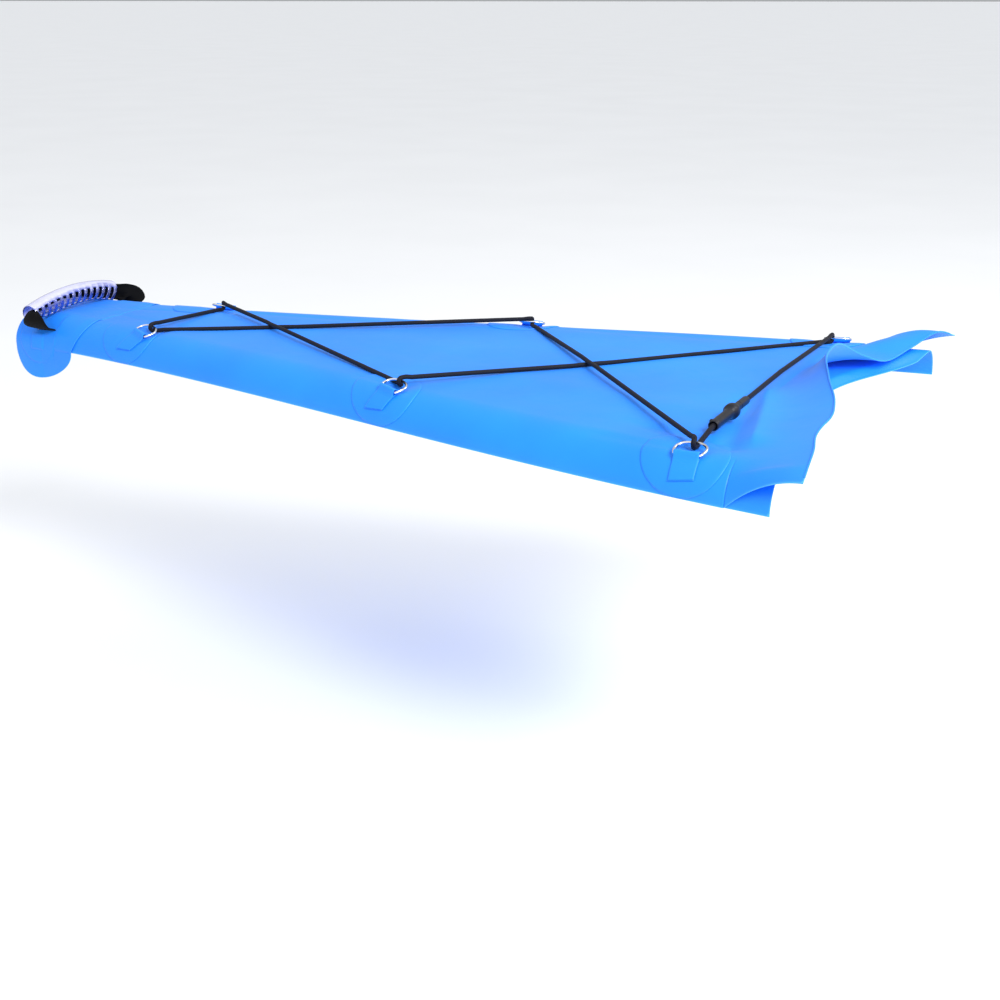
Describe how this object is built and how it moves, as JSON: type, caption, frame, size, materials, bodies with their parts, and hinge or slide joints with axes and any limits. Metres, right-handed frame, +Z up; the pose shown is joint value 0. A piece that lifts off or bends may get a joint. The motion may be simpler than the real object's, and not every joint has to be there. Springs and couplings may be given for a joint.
{
  "type": "kayak spray skirt",
  "caption": "Fabric bow spray deck glued over the front of an inflatable kayak, with D-rings, laced shock cord, free rear edge and a carry handle.",
  "frame": {"origin": "midway between the rear pair of D-rings, at the height the cord is laced in; the deck sits on the hull here", "axes": "+X aft, +Y starboard, +Z up"},
  "size_m": [1.4239, 0.743, 0.1494],
  "materials": {
    "blue_pvc": "satin coated fabric",
    "stainless": "polished",
    "cord": "braided",
    "webbing": "woven",
    "connector": "moulded",
    "clear_vinyl": "glossy, see-through"
  },
  "bodies": {
    "deck": {"bow_cap": "blue_pvc", "connector_socket": "connector", "cord_knot_socket": "cord", "deck_panel": "blue_pvc", "dring_patch_bow_port": "blue_pvc", "dring_patch_bow_starboard": "blue_pvc", "dring_patch_middle_port": "blue_pvc", "dring_patch_middle_starboard": "blue_pvc", "dring_patch_rear_port": "blue_pvc", "dring_patch_rear_starboard": "blue_pvc", "dring_tab_bow_port": "blue_pvc", "dring_tab_bow_starboard": "blue_pvc", "dring_tab_middle_port": "blue_pvc", "dring_tab_middle_starboard": "blue_pvc", "dring_tab_rear_port": "blue_pvc", "dring_tab_rear_starboard": "blue_pvc", "gunwale_band_port": "blue_pvc", "gunwale_band_starboard": "blue_pvc", "handle_patch_port": "blue_pvc", "handle_patch_starboard": "blue_pvc", "rear_underlay": "blue_pvc", "shock_cord": "cord"},
    "flap": {"rear_flap": "blue_pvc", "rear_hem": "blue_pvc"},
    "handle": {"handle_grip": "clear_vinyl", "handle_webbing": "webbing"},
    "plug": {"connector_plug": "connector", "cord_knot_plug": "cord"},
    "ring_bow_port": {"dring_bow_port": "stainless"},
    "ring_bow_starboard": {"dring_bow_starboard": "stainless"},
    "ring_middle_port": {"dring_middle_port": "stainless"},
    "ring_middle_starboard": {"dring_middle_starboard": "stainless"},
    "ring_rear_port": {"dring_rear_port": "stainless"},
    "ring_rear_starboard": {"dring_rear_starboard": "stainless"}
  },
  "joints": [
    {"name": "dring_bow_port_hinge", "type": "hinge", "parent": "deck", "child": "ring_bow_port", "pos_m": [-0.973, -0.10882, -0.01135], "axis": [0.9048, -0.4047, -0.1321], "range_deg": [0, 65], "deforming": ["shock_cord"]},
    {"name": "dring_bow_starboard_hinge", "type": "hinge", "parent": "deck", "child": "ring_bow_starboard", "pos_m": [-0.973, 0.10882, -0.01135], "axis": [-0.9048, -0.4047, 0.1321], "range_deg": [0, 65], "deforming": ["shock_cord"]},
    {"name": "dring_middle_port_hinge", "type": "hinge", "parent": "deck", "child": "ring_middle_port", "pos_m": [-0.456, -0.22176, -0.00809], "axis": [0.9174, -0.3876, -0.0906], "range_deg": [0, 65], "deforming": ["shock_cord"]},
    {"name": "dring_middle_starboard_hinge", "type": "hinge", "parent": "deck", "child": "ring_middle_starboard", "pos_m": [-0.456, 0.22176, -0.00809], "axis": [-0.9174, -0.3876, 0.0906], "range_deg": [0, 65], "deforming": ["shock_cord"]},
    {"name": "dring_rear_port_hinge", "type": "hinge", "parent": "deck", "child": "ring_rear_port", "pos_m": [-0.003, -0.31453, -0.00524], "axis": [0.9962, -0.0767, 0.0419], "range_deg": [0, 65], "deforming": ["shock_cord"]},
    {"name": "dring_rear_starboard_hinge", "type": "hinge", "parent": "deck", "child": "ring_rear_starboard", "pos_m": [0.011, 0.31666, -0.00515], "axis": [-0.9965, -0.0724, -0.0419], "range_deg": [0, 65], "deforming": ["shock_cord"]},
    {"name": "flap_lift", "type": "hinge", "parent": "deck", "child": "flap", "pos_m": [0.012, 0, -0.00437], "axis": [0, -1, 0], "range_deg": [0, 50]},
    {"name": "handle_swing", "type": "hinge", "parent": "deck", "child": "handle", "pos_m": [-1.184, 0, -0.0317], "axis": [0, 1, 0], "range_deg": [-4, 36], "stiffness_Nm_per_rad": 0.5, "deforming": ["handle_webbing"]},
    {"name": "plug_pull", "type": "slide", "parent": "deck", "child": "plug", "axis": [0, 1, 0], "range_m": [0, 0.02], "deforming": ["shock_cord"]}
  ]
}
